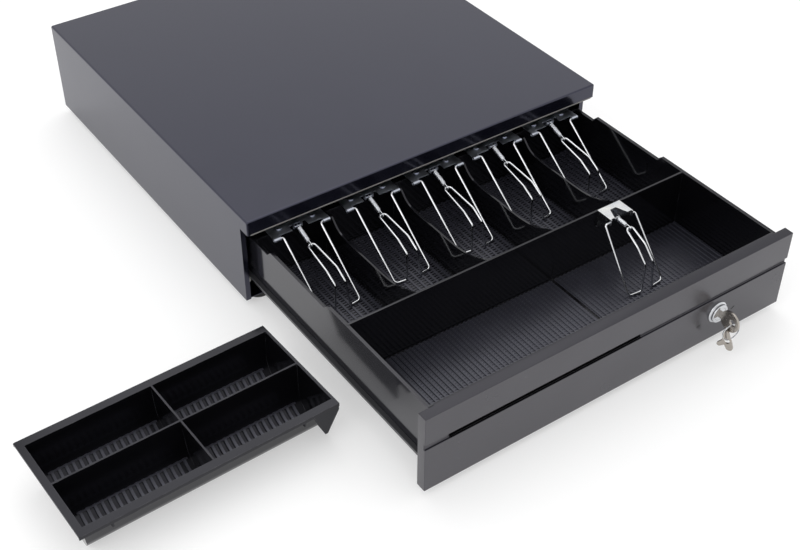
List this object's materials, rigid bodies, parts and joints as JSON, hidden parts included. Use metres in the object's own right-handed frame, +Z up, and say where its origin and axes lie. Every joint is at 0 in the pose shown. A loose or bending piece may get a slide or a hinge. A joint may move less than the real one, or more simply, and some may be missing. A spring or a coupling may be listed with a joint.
{
  "type": "cash drawer",
  "caption": "Black steel under-counter cash drawer, open, with a compartmented till insert, wire bill clips, a keyed lock, and its lift-out coin tray lying beside it.",
  "frame": {"origin": "on the counter plane, under the centre of the case's side-panel footprint", "axes": "+Z up, out of the case's top; -Y is where the drawer opens, so +Y points out of the rear panel; +X is the operator's right"},
  "size_m": [0.6693, 0.728, 0.1082],
  "materials": {
    "case_black": "semi-gloss black powder coat, fine orange peel",
    "panel_black": "semi-gloss black powder coat",
    "tray_black": "satin black powder coat",
    "runner_grey": "satin grey-black",
    "till_plastic": "glossy black moulded plastic",
    "coin_plastic": "glossy black moulded plastic",
    "zinc": "bright zinc plate",
    "wire": "bright drawn wire",
    "spring_steel": "spring steel",
    "chrome": "polished",
    "key_nickel": "nickel plated",
    "rubber": "matt",
    "nylon": "grey nylon",
    "dark_plastic": "matt black",
    "copper_wire": "varnished copper winding",
    "screw_black": "black oxide"
  },
  "bodies": {
    "case": {"case_cover": "case_black", "base_pan": "case_black", "rear_panel": "case_black", "rear_panel_screws": "screw_black", "case_runner_left": "zinc", "case_runner_right": "zinc", "front_roller_pins": "zinc", "rubber_feet": "rubber", "foot_screws": "zinc", "latch_bracket": "zinc", "solenoid_frame": "zinc", "solenoid_coil": "copper_wire", "latch_pivot_pin": "zinc", "latch_return_spring": "spring_steel", "ejector_housing": "dark_plastic", "ejector_spring": "spring_steel", "drawer_switch": "dark_plastic", "drive_socket": "dark_plastic", "drive_lead": "dark_plastic"},
    "front_roller_l": {"front_roller_left": "nylon"},
    "front_roller_r": {"front_roller_right": "nylon"},
    "plunger": {"solenoid_plunger": "zinc"},
    "latch": {"latch_lever": "zinc"},
    "ejector": {"ejector_plunger": "nylon"},
    "switch_arm": {"switch_lever": "spring_steel"},
    "drawer": {"drawer_tray": "tray_black", "front_panel": "panel_black", "front_panel_screws": "zinc", "media_chute": "tray_black", "drawer_runner_left": "runner_grey", "drawer_runner_right": "runner_grey", "rear_roller_pins": "zinc", "latch_striker": "zinc", "till_insert": "till_plastic", "clip_brackets_rear": "zinc", "clip_bracket_front": "zinc", "bracket_rivets": "zinc", "lock_body": "chrome", "lock_nut": "zinc"},
    "rear_roller_l": {"rear_roller_left": "nylon"},
    "rear_roller_r": {"rear_roller_right": "nylon"},
    "lock": {"lock_cylinder": "chrome", "lock_cam": "zinc"},
    "main_key": {"key": "key_nickel"},
    "hanging_key": {"key_ring": "chrome", "spare_key": "key_nickel"},
    "coin_tray": {"coin_tray": "coin_plastic"},
    "clip_1": {"clip_wire_1": "wire"},
    "spring_1": {"clip_spring_1": "spring_steel"},
    "clip_2": {"clip_wire_2": "wire"},
    "spring_2": {"clip_spring_2": "spring_steel"},
    "clip_3": {"clip_wire_3": "wire"},
    "spring_3": {"clip_spring_3": "spring_steel"},
    "clip_4": {"clip_wire_4": "wire"},
    "spring_4": {"clip_spring_4": "spring_steel"},
    "clip_5": {"clip_wire_5": "wire"},
    "spring_5": {"clip_spring_5": "spring_steel"},
    "clip_6": {"clip_wire_6": "wire"},
    "spring_6": {"clip_spring_6": "spring_steel"}
  },
  "joints": [
    {"name": "drawer_slide", "type": "slide", "parent": "case", "child": "drawer", "axis": [0, -1, 0], "range_m": [-0.2732, 0]},
    {"name": "front_roller_l_spin", "type": "hinge", "parent": "case", "child": "front_roller_l", "pos_m": [-0.1999, -0.199, 0.02802], "axis": [1, 0, 0], "range_deg": [-2900, 0]},
    {"name": "rear_roller_l_spin", "type": "hinge", "parent": "drawer", "child": "rear_roller_l", "pos_m": [-0.1999, -0.119, 0.02595], "axis": [1, 0, 0], "range_deg": [-2900, 0]},
    {"name": "front_roller_r_spin", "type": "hinge", "parent": "case", "child": "front_roller_r", "pos_m": [0.1999, -0.199, 0.02802], "axis": [1, 0, 0], "range_deg": [-2900, 0]},
    {"name": "rear_roller_r_spin", "type": "hinge", "parent": "drawer", "child": "rear_roller_r", "pos_m": [0.1999, -0.119, 0.02595], "axis": [1, 0, 0], "range_deg": [-2900, 0]},
    {"name": "latch_hinge", "type": "hinge", "parent": "case", "child": "latch", "pos_m": [0, 0.191, 0.057], "axis": [-1, 0, 0], "range_deg": [0, 14.2]},
    {"name": "plunger_slide", "type": "slide", "parent": "case", "child": "plunger", "axis": [0, 0, 1], "range_m": [0, 0.003], "deforming": ["latch_return_spring"]},
    {"name": "ejector_slide", "type": "slide", "parent": "case", "child": "ejector", "axis": [0, -1, 0], "range_m": [0, 0.018]},
    {"name": "switch_arm_hinge", "type": "hinge", "parent": "case", "child": "switch_arm", "pos_m": [-0.064, 0.1866, 0.0504], "axis": [1, 0, 0], "range_deg": [0, 15]},
    {"name": "clip_1_hinge", "type": "hinge", "parent": "drawer", "child": "clip_1", "pos_m": [-0.1505, -0.224, 0.079], "axis": [-1, 0, 0], "range_deg": [0, 95]},
    {"name": "spring_1_hinge", "type": "hinge", "parent": "drawer", "child": "spring_1", "pos_m": [-0.1505, -0.2165, 0.0785], "axis": [-1, 0, 0], "range_deg": [0, 68]},
    {"name": "clip_2_hinge", "type": "hinge", "parent": "drawer", "child": "clip_2", "pos_m": [-0.0715, -0.224, 0.079], "axis": [-1, 0, 0], "range_deg": [0, 95]},
    {"name": "spring_2_hinge", "type": "hinge", "parent": "drawer", "child": "spring_2", "pos_m": [-0.0715, -0.2165, 0.0785], "axis": [-1, 0, 0], "range_deg": [0, 68]},
    {"name": "clip_3_hinge", "type": "hinge", "parent": "drawer", "child": "clip_3", "pos_m": [0.0045, -0.224, 0.079], "axis": [-1, 0, 0], "range_deg": [0, 95]},
    {"name": "spring_3_hinge", "type": "hinge", "parent": "drawer", "child": "spring_3", "pos_m": [0.0045, -0.2165, 0.0785], "axis": [-1, 0, 0], "range_deg": [0, 68]},
    {"name": "clip_4_hinge", "type": "hinge", "parent": "drawer", "child": "clip_4", "pos_m": [0.0775, -0.224, 0.079], "axis": [-1, 0, 0], "range_deg": [0, 95]},
    {"name": "spring_4_hinge", "type": "hinge", "parent": "drawer", "child": "spring_4", "pos_m": [0.0775, -0.2165, 0.0785], "axis": [-1, 0, 0], "range_deg": [0, 68]},
    {"name": "clip_5_hinge", "type": "hinge", "parent": "drawer", "child": "clip_5", "pos_m": [0.1515, -0.224, 0.079], "axis": [-1, 0, 0], "range_deg": [0, 95]},
    {"name": "spring_5_hinge", "type": "hinge", "parent": "drawer", "child": "spring_5", "pos_m": [0.1515, -0.2165, 0.0785], "axis": [-1, 0, 0], "range_deg": [0, 68]},
    {"name": "clip_6_hinge", "type": "hinge", "parent": "drawer", "child": "clip_6", "pos_m": [0.096, -0.3835, 0.085], "axis": [-1, 0, 0], "range_deg": [0, 95]},
    {"name": "spring_6_hinge", "type": "hinge", "parent": "drawer", "child": "spring_6", "pos_m": [0.096, -0.3795, 0.083], "axis": [-1, 0, 0], "range_deg": [0, 73]},
    {"name": "lock_turn", "type": "hinge", "parent": "drawer", "child": "lock", "pos_m": [0.1195, -0.492, 0.0387], "axis": [0, 1, 0], "range_deg": [0, 90]},
    {"name": "key_slide", "type": "slide", "parent": "lock", "child": "main_key", "axis": [0, -1, 0], "range_m": [0, 0.028]},
    {"name": "key_ring_hinge", "type": "hinge", "parent": "main_key", "child": "hanging_key", "pos_m": [0.1195, -0.5137, 0.03727], "axis": [1, 0, 0], "range_deg": [-25, 8]},
    {"name": "coin_tray_lift", "type": "slide", "parent": "case", "child": "coin_tray", "axis": [0, 0, 1], "range_m": [0, 0.12]}
  ],
  "couplings": [
    {"joint": "front_roller_l_spin", "follows": "drawer_slide", "rad_per_m": 185.19},
    {"joint": "front_roller_r_spin", "follows": "drawer_slide", "rad_per_m": 185.19},
    {"joint": "rear_roller_l_spin", "follows": "drawer_slide", "rad_per_m": 185.19},
    {"joint": "rear_roller_r_spin", "follows": "drawer_slide", "rad_per_m": 185.19},
    {"joint": "latch_hinge", "follows": "plunger_slide", "rad_per_m": 81.5},
    {"joint": "spring_1_hinge", "follows": "clip_1_hinge", "ratio": 0.7},
    {"joint": "spring_2_hinge", "follows": "clip_2_hinge", "ratio": 0.7},
    {"joint": "spring_3_hinge", "follows": "clip_3_hinge", "ratio": 0.7},
    {"joint": "spring_4_hinge", "follows": "clip_4_hinge", "ratio": 0.7},
    {"joint": "spring_5_hinge", "follows": "clip_5_hinge", "ratio": 0.7},
    {"joint": "spring_6_hinge", "follows": "clip_6_hinge", "ratio": 0.7537}
  ]
}
